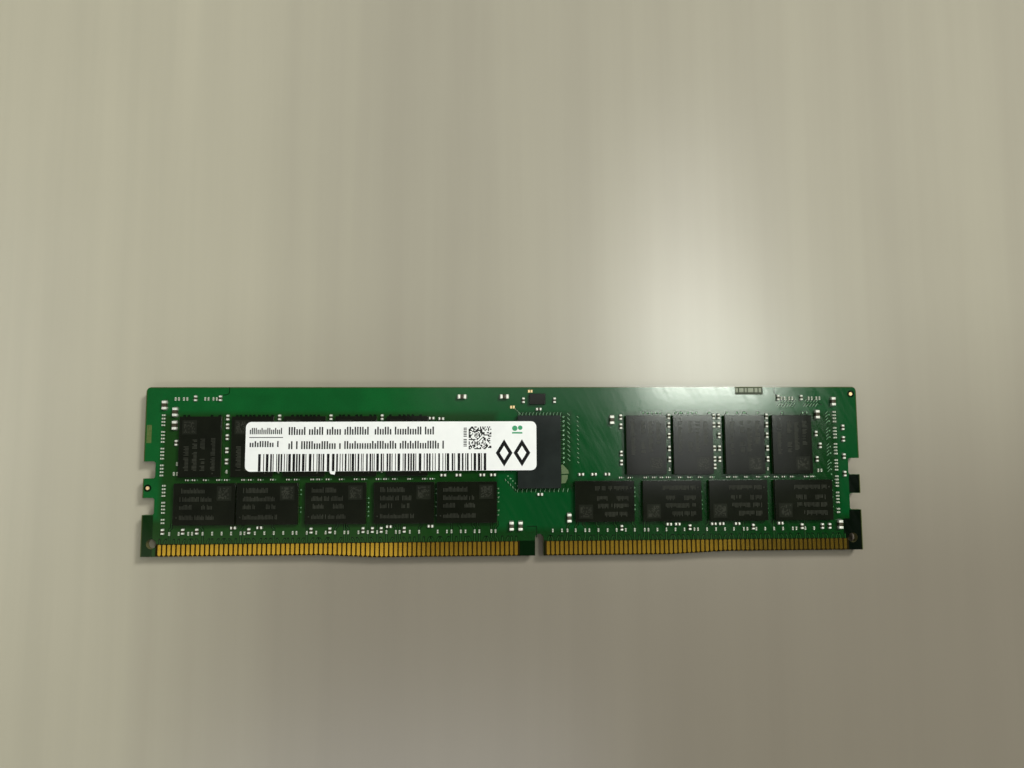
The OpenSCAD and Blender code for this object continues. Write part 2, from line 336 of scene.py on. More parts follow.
# No copper under the mask: two corners and one tab, the right-hand ones darkened further by painted shade.
BARE_AREAS = ((-0.1, 2.05, 0, 7.9, BARE_MASK_LEFT), (131.2, 133.5, 11.1, 14.5, BARE_MASK_RIGHT),
              (131, 133.5, 0, 7.9, BARE_MASK_RIGHT), (129.8, 131.2, 0, 6.3, BARE_MASK_RIGHT))
# The mask is dull and dark behind the legend.
LEGEND_WINDOW = (109.8, 115.2, 29.75, 31.4)
# The two round marks stand in a ring without copper.
ROUND_MARKS = ((0.85, 12.8), (132.3, 29.88))
MARK_RING = 0.68
# The copper stops short of the card's edges.
EDGE_INSET = 0.14


def mask_look(name, tint, zones=False):
    """Glossy green solder mask. With zones, it shows what copper lies under each part of the card, and
    painted shade darkens it towards the right.
    """
    look = Look(name, tint, 0.2, Specular_IOR_Level=0.45)
    cloud = look.noise(6.0, 4)
    grain = look.noise(0.25, 3)
    green = look.blend(look.ramp(cloud, 0.35, 0.65), [c * 0.88 for c in tint], [c * 1.1 for c in tint])
    lean = (0, 0, math.radians(-28))
    leaning = look.add("ShaderNodeMapping", {0: look.place, "Rotation": lean}).outputs[0]
    streaks = look.noise(1 / 1.3, 3, (1.2, 0.12, 1), 0.5, leaning)
    rough = look.ramp(streaks, 0.35, 0.65, 0.12, 0.17)
    if zones:
        # Painted shade: the mask turns darker towards the right half of the card.
        painted_shade_rightwards = look.ramp(look.axis("X"), -20, 5)
        green = look.blend(painted_shade_rightwards, green, MASK_GREEN_SHADED_RIGHT)
        solid = 0.0
        for area in POUR_AREAS:
            solid = look.math("MAXIMUM", solid, look.patch(*area, 1.2))
        green = look.blend(solid, look.blend(painted_shade_rightwards, TRACKED_MASK, TRACKED_MASK_SHADED_RIGHT), green)
    green = look.blend(look.ramp(grain, 0.3, 0.7, 0, 0.35), green, [c * 0.5 for c in tint])
    if zones:
        for *area, colour in BARE_AREAS:
            green = look.blend(look.patch(*area, 0.15), green, colour)
        for x, y in ROUND_MARKS:
            green = look.blend(look.disc(x, y, MARK_RING), green, BARE_MASK_RIGHT)
        window = look.patch(*LEGEND_WINDOW)
        green = look.blend(window, green, LEGEND_GROUND)
        rough = look.math("MAXIMUM", rough, look.math("MULTIPLY", window, 0.5))
        long, tall = on_card(CARD_HIGH.x, CARD_HIGH.y)
        inside = look.patch(EDGE_INSET, long - EDGE_INSET, -1, tall - EDGE_INSET, 0.08)
        green = look.blend(inside, EDGE_OLIVE, green)
    look.colour(green)
    look.rough(rough)
    look.bump(look.noise(0.9, 2), 0.004)
    look.bump(grain, 0.0015)
    return look.material


# The lower edge, where laminate shows between the contacts: its own brown, darkened by painted shade.
CONTACT_AREA = (2.5, 130.9, -0.1, 2.8)
CONTACT_GROUND_SHADED = (0.012, 0.008, 0.001)
# Where dark laminate shows: beside the key notch and around the two round marks.
BARE_LAMINATE = ((68.6, 73.2, -0.1, 2.8), (0.1, 1.9, 11.8, 13.8), (131.3, 133.2, 28.9, 30.9))
BARE_GROUND = (0.0002, 0.009, 0.0007)


def laminate_look():
    """Woven glass and resin: layered on the sawn edges, and between the contacts its brown darkened by
    painted shade.
    """
    look = Look("laminate", (0.12, 0.13, 0.05), 0.6, Specular_IOR_Level=0.05)
    layers = look.add("ShaderNodeTexWave", {"Vector": look.place, "Scale": 1.1,
                                            "Distortion": 1.5, "Detail": 2.0}, bands_direction="Z")
    fibres = look.noise(0.12, 3, (0.25, 1, 4))
    edge = look.blend(look.ramp(layers.outputs["Fac"], 0.2, 0.8), (0.17, 0.15, 0.055), (0.075, 0.085, 0.03))
    edge = look.blend(look.ramp(fibres, 0.35, 0.7, 0, 0.5), edge, (0.26, 0.24, 0.13))
    weave = look.math("MULTIPLY", look.noise(0.22, 2, (0.2, 1.6, 1)), look.noise(0.22, 2, (1.6, 0.2, 1)))
    face = look.blend(look.ramp(weave, 0.15, 0.4), (0.075, 0.115, 0.03), (0.12, 0.165, 0.055))
    face = look.blend(look.patch(*CONTACT_AREA, 0.05), face, CONTACT_GROUND_SHADED)
    for area in BARE_LAMINATE:
        face = look.blend(look.patch(*area, 0.05), face, BARE_GROUND)
    normal = look.add("ShaderNodeNewGeometry").outputs["Normal"]
    up = look.add("ShaderNodeSeparateXYZ", {0: normal}).outputs["Z"]
    facing = look.ramp(look.math("ABSOLUTE", up), 0.5, 0.8)
    look.colour(look.blend(facing, edge, face))
    look.rough(look.ramp(fibres, 0.3, 0.7, 0.45, 0.75))
    look.bump(fibres, 0.012)
    return look.material


def grained_look(name, colour, roughness, size, depth, tones=None, detail=3, start=0.3, rough=None,
                 **constants):
    """A grain of about size millimetres across and depth high, that varies the tone and the roughness."""
    look = Look(name, colour, roughness, **constants)
    grain = look.noise(size, detail)
    if tones:
        look.colour(look.blend(look.ramp(grain, start, 0.7), *tones))
    if rough:
        look.rough(look.ramp(grain, 0.3, 0.7, *rough))
    look.bump(grain, depth)
    return look.material


def gold_look():
    """Hard gold on the contacts, brushed along Y by insertions."""
    look = Look("gold_plating", (0.88, 0.56, 0.075), 0.13, Metallic=1.0)
    wipes = look.noise(0.15, 2, (1, 0.02, 1))
    tone = look.noise(1.6, 2)
    look.colour(look.blend(look.ramp(tone, 0.35, 0.65), (0.93, 0.61, 0.085), (0.87, 0.55, 0.07)))
    look.rough(look.ramp(wipes, 0.3, 0.7, 0.11, 0.15))
    look.bump(wipes, 0.0006)
    return look.material


def mould_look(name, colour, sparkle, shine=0.4):
    """Black moulding compound: satin, with a fine grain and pale filler specks."""
    look = Look(name, colour, 0.11, Specular_IOR_Level=shine)
    grain = look.noise(0.07, 4, rough=0.7)
    filler = look.add("ShaderNodeTexVoronoi", {"Vector": look.place, "Scale": 7.0})
    smudge = look.noise(4.0, 3)
    body = look.blend(look.ramp(smudge, 0.35, 0.65), [c * 0.85 for c in colour], [c * 1.2 for c in colour])
    specks = look.ramp(filler.outputs["Distance"], 0.08, 0.02, 0, 0.6)
    look.colour(look.blend(specks, body, sparkle))
    look.rough(look.ramp(grain, 0.3, 0.7, 0.095, 0.125))
    look.bump(grain, 0.001)
    return look.material


def substrate_look():
    """Thin laminate under a package, with its sawn glass layers."""
    look = Look("package_substrate", (0.03, 0.05, 0.02), 0.5)
    layers = look.noise(0.05, 2, (0.1, 0.1, 1))
    look.colour(look.blend(look.ramp(layers, 0.4, 0.6), (0.012, 0.035, 0.012), (0.10, 0.095, 0.04)))
    look.bump(look.noise(0.08, 3), 0.004)
    return look.material


def paper_look():
    """White synthetic label stock, satin, with faint mottling."""
    look = Look("label_paper", (0.90, 0.92, 0.87), 0.42, Specular_IOR_Level=0.4)
    mottle = look.noise(2.5, 4)
    fibre = look.noise(0.12, 4)
    look.colour(look.blend(look.ramp(mottle, 0.35, 0.65), (0.88, 0.90, 0.855), (0.92, 0.94, 0.89)))
    look.rough(look.ramp(fibre, 0.3, 0.7, 0.36, 0.5))
    look.bump(fibre, 0.003)
    return look.material


def ink_look(name, colour, worn):
    """Thermal print: flat ink, a little uneven."""
    look = Look(name, colour, 0.55, Specular_IOR_Level=0.15)
    look.colour(look.blend(look.ramp(look.noise(0.15, 4), 0.5, 0.75, 0, 0.5), colour, worn))
    look.bump(look.noise(0.05, 2), 0.001)
    return look.material


def floor_look():
    """Plain pale satin desk, faintly brushed, with painted shade that makes it a little darker in front of
    the card and to its right.

    Places on the desk are in the frame's millimetres.
    """
    look = Look("studio_floor", (0.50, 0.47, 0.36), 0.27, Specular_IOR_Level=0.5)
    soft = look.noise(40.0, 3)
    brushed = look.noise(9.0, 4, (1, 0.03, 1))
    shade = look.blend(look.ramp(soft, 0.3, 0.7), (0.50, 0.473, 0.355), (0.52, 0.492, 0.37))
    shade = look.blend(look.ramp(brushed, 0.35, 0.65, 0, 0.16), shade, (0.22, 0.20, 0.16))
    # Painted shade: the desk darkens towards the right.
    right = look.ramp(look.axis("X"), -75, -10, 0, 0.4, kind="SMOOTHSTEP")
    shade = look.blend(right, shade, (0.22, 0.20, 0.165))
    # Painted shade: the desk darkens in front of the card, more so away from its far left.
    across = look.ramp(look.axis("X"), -98, -26, 0, 0.6, kind="SMOOTHSTEP")
    front = look.math("MULTIPLY", across, look.ramp(look.axis("Y"), 40, -25, kind="SMOOTHSTEP"))
    look.colour(look.blend(front, shade, (0.13, 0.105, 0.078)))
    look.bump(look.noise(0.6, 3), 0.004)
    return look.material


MASK = mask_look("solder_mask", MASK_GREEN, zones=True)
TRACK = mask_look("track_under_mask", (0.014, 0.075, 0.014))
# Copper under the mask, drawn much lighter than the mask as a painted glint.
VIA = mask_look("via_copper_and_glint", (0.125, 0.270, 0.135))
OLIVE = mask_look("copper_under_mask", (0.125, 0.180, 0.085))
CLEARANCE = mask_look("clearance_under_mask", (0.0010, 0.011, 0.0018))
GOLD = gold_look()
# Matt tin over the ends of the chip parts.
TIN = grained_look("tin_plating", (0.86, 0.85, 0.80), 0.45, 0.06, 0.004,
                   ((0.86, 0.88, 0.77), (0.72, 0.74, 0.63)), start=0.35, rough=(0.36, 0.56), Metallic=0.3)
# Bright solder, faintly frosted.
SOLDER = grained_look("solder", (0.52, 0.54, 0.47), 0.28, 0.09, 0.005, rough=(0.2, 0.42), Metallic=0.8)
MOULD = mould_look("mould_compound", (0.0062, 0.0077, 0.0041), (0.04, 0.04, 0.032))
REGISTER_MOULD = mould_look("register_mould", (0.0165, 0.0210, 0.0185), (0.08, 0.08, 0.075))
SUBSTRATE = substrate_look()
# Fired brown ceramic of the capacitors.
CERAMIC = grained_look("capacitor_ceramic", (0.045, 0.036, 0.019), 0.42, 0.1, 0.004,
                       ((0.036, 0.032, 0.017), (0.060, 0.054, 0.029)), 4, Specular_IOR_Level=0.3)
# White alumina of the resistors, which shows beside their glaze of pale grey-green glass.
ALUMINA = grained_look("resistor_alumina", (0.50, 0.53, 0.42), 0.5, 0.05, 0.002,
                       ((0.46, 0.50, 0.38), (0.56, 0.59, 0.47)))
GLAZE = grained_look("resistor_glaze", (0.26, 0.29, 0.20), 0.25, 0.12, 0.005,
                     ((0.22, 0.25, 0.17), (0.30, 0.33, 0.23)), Coat_Weight=0.4, Coat_Roughness=0.12)
LAMINATE = laminate_look()
PAPER = paper_look()
BLACK_INK = ink_look("label_ink_black", (0.005, 0.005, 0.005), (0.022, 0.022, 0.024))
# Pale flash gold on the spare pads and the two round marks.
PAD = grained_look("bare_pads", (0.90, 0.66, 0.34), 0.4, 0.1, 0.001,
                   ((0.92, 0.70, 0.38), (0.82, 0.58, 0.28)), Metallic=0.35)
GREEN_INK = ink_look("label_ink_green", (0.06, 0.33, 0.15), (0.14, 0.45, 0.24))
LEGEND_INK = ink_look("legend_ink", (0.30, 0.33, 0.24), (0.16, 0.22, 0.14))
LASER = mould_look("laser_mark", (0.033, 0.035, 0.026), (0.06, 0.06, 0.05), 0.22)
LASER_FIELD = mould_look("laser_field", (0.0130, 0.0150, 0.0098), (0.04, 0.04, 0.032), 0.33)


# ---- CAD nodes that stay ----

def soften(node, width):
    """Rounds the sharp edges of a CAD node by width millimetres, without touching its mesh."""
    made = frame["nodes"][node]
    weld = made.modifiers.new("weld", "WELD")
    weld.merge_threshold = 1e-7
    bevel = made.modifiers.new("bevel", "BEVEL")
    bevel.width = width * MM
    bevel.segments = 2
    bevel.limit_method = "ANGLE"
    made.modifiers.new("normals", "WEIGHTED_NORMAL")


def paint(node, look):
    for held in frame["nodes"][node].material_slots:
        held.material = look


for name in frame["nodes"]:
    if name.startswith(("dram_front", "dram_back")):
        paint(name, MOULD)
        soften(name, 0.04)
for name, look, width in (
    ("register_driver", REGISTER_MOULD, 0.06), ("spd_sensor", MOULD, 0.05),
    ("register_substrate", SUBSTRATE, 0.01), ("dram_substrates_front", SUBSTRATE, 0.01),
    ("dram_substrates_back", SUBSTRATE, 0.01), ("legend_ink", LEGEND_INK, 0.004),
):
    paint(name, look)
    soften(name, width)
for name, look in (("pcb_laminate", LAMINATE), ("solder_mask_front", MASK), ("solder_mask_back", MASK),
                   ("bare_pads", PAD), ("spd_pads", SOLDER)):
    paint(name, look)


# ---- contacts ----

# How far a new piece reaches down into what it stands on, so that no gap shows.
SUNK = 0.04 * MM


def contact_strips(face):
    """Gold fingers with round upper corners, each with the stub of its plating bar."""
    shape = Shape()
    lift, edge = 0.004 * MM, 0.012 * MM
    stub_wide, stub_long = 0.14 * MM, 0.2 * MM
    for low, high in islands(f"contacts_{face.name}"):
        cx, cy, width, height = span(low, high)
        base = rectangle(cx, cy, width, height, 0.12 * MM, 3)
        top = rectangle(cx, cy, width - 2 * edge, height - 2 * edge, 0.11 * MM, 3)
        shape.stand(face, [(base, -SUNK), (base, lift - edge), (top, lift)])
        stub = rectangle(cx, low.y - 0.08 * MM, stub_wide, stub_long, 0.01 * MM, 1)
        shape.stand(face, [(stub, -SUNK), (stub, -0.012 * MM)])
    piece(f"gold_contacts_{face.name}", shape, GOLD, [f"contacts_{face.name}"])


for face in FACES:
    contact_strips(face)


# ---- solder balls ----

# Height and width of a ball, going up, as shares of the CAD ball's.
BARREL = ((0.0, 0.84), (0.18, 1.0), (0.5, 1.1), (0.82, 1.0), (1.0, 0.84))


def ball_grid(name, node):
    """Soldered balls bulge at mid height and neck in at both pads."""
    shape = Shape()
    for low, high in islands(node):
        cx, cy, width, _ = span(low, high)
        levels = [(low.z + share * (high.z - low.z), width / 2 * wide) for share, wide in BARREL]
        shape.loft([[(x, y, z) for x, y in circle(cx, cy, radius, 8)] for z, radius in levels])
    piece(name, shape, SOLDER, [node], smooth_below=60)


ball_grid("solder_balls_front", "dram_balls_front")
ball_grid("solder_balls_back", "dram_balls_back")
ball_grid("solder_balls_register", "register_balls")


# ---- chip parts ----

def box_on(shape, face, low, high, radius, inset=0.0):
    """A box between two corners with soft upper edges, drawn in by inset at its sides."""
    cx, cy, width, height = span(low, high)
    tall = high.z - low.z - inset
    levels = []
    for back, rise in ((0, 0), (0, tall - radius), (0.3 * radius, tall - 0.3 * radius), (radius, tall)):
        less = 2 * (inset + back)
        outline = rectangle(cx, cy, width - less, height - less, radius * 1.1 - back * 0.9, 2)
        levels.append((outline, rise))
    shape.stand(face, levels)


def chip_bodies(name, node, look, inset):
    """The bodies of a kind of chip part, a little smaller than the plating over their ends."""
    shape = Shape()
    for low, high in islands(node):
        box_on(shape, face_of(low, high), low, high, 0.03 * MM, inset)
    piece(name, shape, look, [node], smooth_below=40)


# How far the solder reaches out of a joint, and how high and wide it is, going up.
FILLET = ((1.0, 0.0, 1.08), (0.95, 0.05, 1.06), (0.5, 0.2, 1.0), (0.18, 0.5, 0.96), (0.03, 0.8, 0.88))


def terminals(name, node, bodies, wrap=0.0):
    """Plated ends of the chip parts, each with the solder that climbs its outer face.

    The plating reaches further over the body than the CAD end, by wrap times the part's width.
    """
    ends = Shape()
    joints = Shape()
    centres = np.array([(low + high) / 2 for body in bodies for low, high in islands(body)])
    for low, high in islands(node):
        face = face_of(low, high)
        middle, size = (low + high) / 2, high - low
        nearest = centres[np.argmin(((centres - np.array(middle)) ** 2).sum(1))]
        along = 0 if size.x < size.y else 1
        out = math.copysign(1, middle[along] - nearest[along])
        inner = low if out > 0 else high
        inner[along] -= out * wrap * size[1 - along]
        box_on(ends, face, low, high, 0.07 * MM)
        reach = 0.25 * size[1 - along]
        levels = []
        for far, tall, wide in FILLET:
            length = size[along] * 0.9 + far * reach
            centre = [middle.x, middle.y]
            centre[along] += out * far * reach / 2
            width = size[1 - along] * wide
            spans = (length, width) if along == 0 else (width, length)
            levels.append((rectangle(*centre, *spans, 0.3 * min(spans), 2), tall * size.z))
        joints.stand(face, levels)
    piece(f"{name}_ends", ends, TIN, [node], smooth_below=50)
    piece(f"{name}_solder", joints, SOLDER, smooth_below=60)


CAPACITORS = ("capacitors_large", "capacitors_medium", "capacitors_small")
for node in CAPACITORS:
    chip_bodies(node.replace("capacitors", "ceramic"), node, CERAMIC, 0.015 * MM)
chip_bodies("resistor_bodies", "resistors", ALUMINA, 0.01 * MM)
terminals("capacitor", "capacitor_terminals", CAPACITORS, wrap=0.2)
terminals("resistor", "resistor_terminals", ["resistors"])


def resistor_glazing():
    """A pad of glass on the top of each resistor, between its ends."""
    shape = Shape()
    for low, high in islands("resistors"):
        face = face_of(low, high)
        cx, cy, *size = span(low, high)
        across = 0 if size[0] < size[1] else 1
        size[across] *= 0.5
        top = face.top(low, high)
        base = rectangle(cx, cy, *size, 0.02 * MM, 1)
        rim = rectangle(cx, cy, *(side - 0.03 * MM for side in size), 0.02 * MM, 1)
        shape.stand(face, [(base, top - SUNK), (base, top - 0.012 * MM), (rim, top)])
    piece("resistor_glaze", shape, GLAZE)


resistor_glazing()


# ---- tracks ----

class Copper:
    """Tracks and vias that show through the mask of one face. Places are in the card's millimetres."""

    def __init__(self, face):
        self.face = face
        self.lines, self.gaps, self.vias = Shape(), Shape(), Shape()

    def line(self, shape, points, width, top):
        """Adds a flat line to a shape, its top that far out of the mask."""
        strip(shape, self.face, [card(*p) for p in points], width * MM, -0.01 * MM, top * MM)

    def gap(self, points, width):
        """A line without copper."""
        self.line(self.gaps, points, width, 0.002)

    def track(self, points, width, clear):
        """A track with a gap at both its sides."""
        self.gap(points, width + 2 * clear)
        self.line(self.lines, points, width, 0.012)

    def raised(self, points, width):
        """A short run of a track in the bright via colour: copper under the mask with a painted glint."""
        self.gap(points, width + 0.3)
        self.line(self.vias, points, width, 0.014)

    def via(self, x, y, radius):
        """A tented via: a low ring with a dimple."""
        levels = ((1.0, -0.01), (1.0, 0.008), (0.8, 0.016), (0.45, 0.016), (0.3, 0.004))
        self.vias.stand(self.face, [(circle(*card(x, y), radius * MM * share, 8), height * MM)
                                    for share, height in levels])

    def finish(self):
        piece(f"tracks_{self.face.name}", self.lines, TRACK)
        piece(f"clearances_{self.face.name}", self.gaps, CLEARANCE)
        piece(f"vias_{self.face.name}", self.vias, VIA, smooth_below=50)


def place_and_size(low, high):
    """The (x, y, width, height) of a box between two corners, in the card's millimetres."""
    cx, cy, width, height = span(low, high)
    return *on_card(cx, cy), width / MM, height / MM


def parts_on(face, node):
    """The places and sizes of a node's solids on one face."""
    return [place_and_size(low, high) for low, high in islands(node) if face.holds(low, high)]


# y of the series resistors above the contacts, from and to.
SERIES_ROW = (4.0, 5.2)
# A contact feeds the series resistor that is this near to its middle.
FED_WITHIN = 0.45
# x of the packages whose vias catch the light, from: there the vias are drawn with a painted glint.
LIT_FROM = 60
# x that the two columns of resistors lie outside of.
COLUMNS = (4.6, 128.2)
# y of the chip parts between the two rows of packages, from and to.
GAP_ROW = (13.8, 14.6)


def contact_tracks(copper, series):
    """From each contact to the resistor above it, or to a via of its own; and on from the resistors."""
    draw = random.Random(11)
    stem, resistor_pad = 0.5, SERIES_ROW[0] + 0.3
    for low, high in islands(f"contacts_{copper.face.name}"):
        x, start = on_card((low.x + high.x) / 2, high.y)
        above = [r for r in series if abs(r[0] - x) < FED_WITHIN]
        if above:
            goal = above[0][0]
            turn = start + stem + abs(goal - x)
            bend = [(x, start + stem), (goal, turn)] if abs(goal - x) > 0.02 else []
            end = goal if bend else x
            copper.track([(x, start), *bend, (end, resistor_pad)], 0.15, 0.13)
        else:
            lean = draw.choice((-0.3, 0, 0.3))
            copper.track([(x, start), (x, start + stem), (x + lean, start + 0.9)], 0.15, 0.13)
            copper.gap([(x + lean, start + 0.8), (x + lean, start + 1.1)], 0.36)
    for x, *_ in series:
        lean = draw.choice((-0.35, 0.0, 0.35))
        bend = [(x, 5.25), (x + lean, 5.25 + abs(lean))] if lean else []
        copper.track([(x, 4.85), *bend, (x + lean, 6.4)], 0.15, 0.16)


def package_fans(copper, packages):
    """Vias along the upper edge and the right side of each package, with short tracks to it.

    Left of LIT_FROM the upper row shows only as clearances in the copper pour.
    """
    draw = random.Random(12)
    for x, y, wide, tall in packages:
        for k in range(-4, 5):
            if draw.random() < 0.75 and tall > wide:
                step, top = x + 0.8 * k, y + tall / 2
                lean = draw.choice((-0.25, 0.25))
                end = step + lean
                if x > LIT_FROM:
                    copper.track([(step, top - 0.2), (step, top + 0.15), (end, top + 0.45)], 0.12, 0.2)
                    copper.gap([(end - 0.3, top + 0.55), (end + 0.3, top + 0.55)], 0.5)
                    copper.via(end, top + 0.55, 0.19)
                else:
                    copper.gap([(step, top - 0.2), (step + lean / 2, top + 0.35)], 0.5)
        for k in range(-3, 4):
            if draw.random() < 0.6 and tall < wide:
                right, level = x + wide / 2, y + 0.8 * k
                copper.track([(right - 0.2, level), (right + 0.3, level)], 0.12, 0.16)
                copper.via(right + 0.3, level, 0.15)


def column_fans(copper, resistors):
    """Short sloping tracks out of the inner ends of the resistors in the two columns."""
    for k, (x, y, wide, _) in enumerate(sorted(resistors, key=lambda r: r[1])):
        inward = 1 if x < COLUMNS[0] else -1
        end = x + inward * wide / 2
        slope = -0.45 if y > 15 else 0.35
        copper.track([(end, y), (end + inward * 0.28, y), (end + inward * 0.72, y + slope)], 0.11, 0.09)
        if k % 2:
            copper.via(end + inward * 0.8, y + slope * 1.15, 0.15)
        if k % 4 == 3:
            copper.via(x + 0.12, y + 0.61, 0.17)
            copper.via(x - 0.3, y + 0.61, 0.13)
        if y > 15:
            copper.raised([(end + inward * 1.05, y + 0.1), (end + inward * 1.5, y - 0.35)], 0.13)


def gap_row_vias(copper, capacitors):
    """A via to the right of each small capacitor between the two rows of packages."""
    for x, y, wide, _ in capacitors:
        if GAP_ROW[0] < y < GAP_ROW[1]:
            copper.via(x + wide / 2 + 0.45, y, 0.14)


def slanted(copper, x0, x1, y, pitch):
    """A row of short tracks at 45 degrees."""
    for k in range(int((x1 - x0) / pitch) + 1):
        x = x0 + k * pitch
        copper.raised([(x, y), (x - 0.45, y - 0.6)], 0.15)


def register_fans(copper):
    """Vias and stubs around the register."""
    pitch = 0.85
    for k in range(11):
        y = 17.1 + pitch * k
        copper.track([(76.2, y), (76.85, y)], 0.14, 0.2)
        copper.via(76.95, y, 0.2)
        copper.raised([(77.7, y + 0.7), (78.15, y + 0.25)], 0.17)
        copper.raised([(79.5, y + 0.15), (79.8, y - 0.15)], 0.17)
    for k in range(13):
        x = 68.6 + 0.65 * k
        copper.raised([(x, 25.8), (x, 26.15), (x + 0.15, 26.45)], 0.14)
    for k in range(12):
        x = 68.4 + pitch * k
        copper.raised([(x, 12.25), (x - 0.15, 11.9), (x - 0.15, 11.6)], 0.15)
    for k in range(5):
        step, small = 0.45 * k, 0.3 * k
        copper.raised([(66.0 + step, 14.1 - step), (66.1 + step, 13.7 - step)], 0.18)
        copper.raised([(67.9 + small, 27.2 - small), (68.0 + small, 26.95 - small)], 0.14)
        copper.via(66.5 + step, 14.6 - step, 0.14)


def copper_islands(face):
    """Two bare-looking patches of copper under the mask, low beside the register."""
    shape = Shape()
    for outline in (((76.5, 14.95), (77.9, 15.0), (77.75, 15.6), (76.75, 16.7), (76.45, 16.6)),
                    ((76.45, 13.2), (77.2, 13.25), (77.6, 14.0), (77.7, 14.75), (76.5, 14.75))):
        ring = [card(*p) for p in outline]
        shape.stand(face, [(ring, -0.01 * MM), (ring, 0.01 * MM)])
    piece("copper_islands", shape, OLIVE)


# Lines where one area of copper pour ends and the next begins.
POUR_EDGES = (
    ((15.05, 31.2), (15.05, 30.35), (14.9, 29.98), (14.5, 29.82), (13.9, 29.78)),
    ((117.4, 31.2), (117.4, 30.2), (117.55, 29.8), (117.95, 29.55), (118.5, 29.5)),
    ((125.75, 29.1), (125.85, 28.45), (126.1, 28.05), (126.6, 27.75)),
    ((69.9, 5.35), (71.75, 5.35), (71.75, 3.3)),
)


def tracks(face):
    """Everything that shows through the mask of one face."""
    copper = Copper(face)
    resistors = parts_on(face, "resistors")
    packages = [place_and_size(*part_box(n)) for n in frame["nodes"] if n.startswith(f"dram_{face.name}")]
    contact_tracks(copper, [r for r in resistors if SERIES_ROW[0] < r[1] < SERIES_ROW[1] and r[3] > r[2]])
    package_fans(copper, packages)
    column_fans(copper, [r for r in resistors if not COLUMNS[0] < r[0] < COLUMNS[1] and r[2] > r[3]])
    gap_row_vias(copper, parts_on(face, "capacitors_small"))
    if face is FRONT:
        register_fans(copper)
        copper_islands(face)
        for x0, x1 in ((118.7, 122.0), (123.7, 126.2)):
            slanted(copper, x0, x1, 28.95, 0.57)
            slanted(copper, x0 - 0.25, x1 - 0.25, 28.05, 0.57)
        for points in POUR_EDGES:
            copper.gap(points, 0.13)
    copper.finish()


for face in FACES:
    tracks(face)


# ---- greeked print ----

def stems(draw, x0, x1, y0, y1, cell):
    """Plain upright bars of two heights, evenly spaced, that stand for a line of print."""
    bars = []
    for k in range(int(2 * (x1 - x0) / cell)):
        if draw.random() < 0.1:
            continue
        tall = (y1 - y0) * draw.choice((0.72, 1.0))
        bars.append((x0 + (k + 0.5) * cell / 2, y0 + tall / 2, 0.29 * cell, tall))
    return bars


def cells(draw, x0, y0, side, count, share=0.5):
    """Random square cells of a two-dimensional code."""
    step = side / count
    return [(x0 + (i + 0.5) * step, y0 + (j + 0.5) * step, step, step)
            for i in range(count) for j in range(count) if draw.random() < share]


# ---- label ----

LABEL_LOW, LABEL_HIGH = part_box("label")
LABEL_CORNER = 1.0
LABEL_THICK = 0.09
INK_THICK = 0.007
INK_SUNK = 0.03
# A torn bit of backing under the lower edge: x, and y from that edge.
LABEL_TAB = ((33.8, 0), (34.9, 0), (34.75, -0.62), (34.0, -0.5))
# The packages that hold the label, as x from and to.
HOLDERS = ("register_driver", *(f"dram_front_{number}" for number in range(11, 15)))
SUPPORTS = sorted((on_card(low.x, 0)[0], on_card(high.x, 0)[0])
                  for low, high in (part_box(n) for n in HOLDERS))


def sag(x, y):
    """How far the label hangs below the package tops, between the packages that hold it."""
    for (_, left), (right, _) in zip(SUPPORTS, SUPPORTS[1:]):
        if left < x < right:
            wide = right - left
            deepest = 0.035 if wide < 5 else 0.16
            swing = 0.5 - 0.5 * math.cos(2 * math.pi * (x - left) / wide)
            return deepest * swing * (1 + 0.25 * math.sin(0.9 * y))
    return 0.0


def label_z(x, y, above=0.0):
    """Height of the label's top in the frame at a place on the card."""
    return LABEL_LOW.z + (LABEL_THICK - sag(x, y) + above) * MM


def label_sheet():
    """The label as one closed sheet that hangs a little between the packages."""
    x0, y0 = on_card(LABEL_LOW.x, LABEL_LOW.y)
    x1, y1 = on_card(LABEL_HIGH.x, LABEL_HIGH.y)
    middle, half = (y0 + y1) / 2, (y1 - y0) / 2
    turns = [LABEL_CORNER * (1 - math.cos(math.radians(15 * k))) for k in range(6)]
    straight = x1 - x0 - 2 * LABEL_CORNER
    count = round(straight / 0.25)
    level = [x0 + LABEL_CORNER + straight * k / count for k in range(count + 1)]
    places = [x0 + t for t in turns] + level + [x1 - t for t in reversed(turns)]
    rings = []
    for x in places:
        inside = min(x - x0, x1 - x, LABEL_CORNER)
        reach = half - LABEL_CORNER + math.sqrt(LABEL_CORNER ** 2 - (LABEL_CORNER - inside) ** 2)
        across = [middle + reach * k / 4 for k in range(-4, 5)]
        below = [(*card(x, y), label_z(x, y, -LABEL_THICK)) for y in across]
        rings.append(below + [(*card(x, y), label_z(x, y)) for y in reversed(across)])
    shape = Shape()
    shape.loft(rings)
    shape.loft([[(*card(x, y0 + y), LABEL_LOW.z + z * MM) for x, y in LABEL_TAB] for z in (-0.02, 0.05)])
    piece("label_sheet", shape, PAPER, ["label"], smooth_below=30)


def print_flat(shape, outline):
    """A patch of ink that follows the label."""
    shape.loft([[(*card(x, y), label_z(x, y, above)) for x, y in outline]
                for above in (-INK_SUNK, INK_THICK)])


def print_bars(shape, bars):
    """Bars of ink (centre, width and height on the card) that follow the label."""
    for cx, cy, wide, tall in bars:
        parts = max(1, math.ceil(wide / 0.5))
        step = wide / parts
        for k in range(parts):
            left = cx - wide / 2 + k * step
            print_flat(shape, ((left, cy - tall / 2), (left + step, cy - tall / 2),
                               (left + step, cy + tall / 2), (left, cy + tall / 2)))


def barcode(draw, x0, x1, cy, tall, module):
    """Bars and spaces of one to three modules, drawn at random."""
    bars, x = [], x0
    while x < x1:
        wide = module * draw.choice((1, 1, 2, 2, 3))
        bars.append((x + wide / 2, cy, wide, tall))
        x += wide + module * draw.choice((1, 1, 2, 2, 3))
    return bars


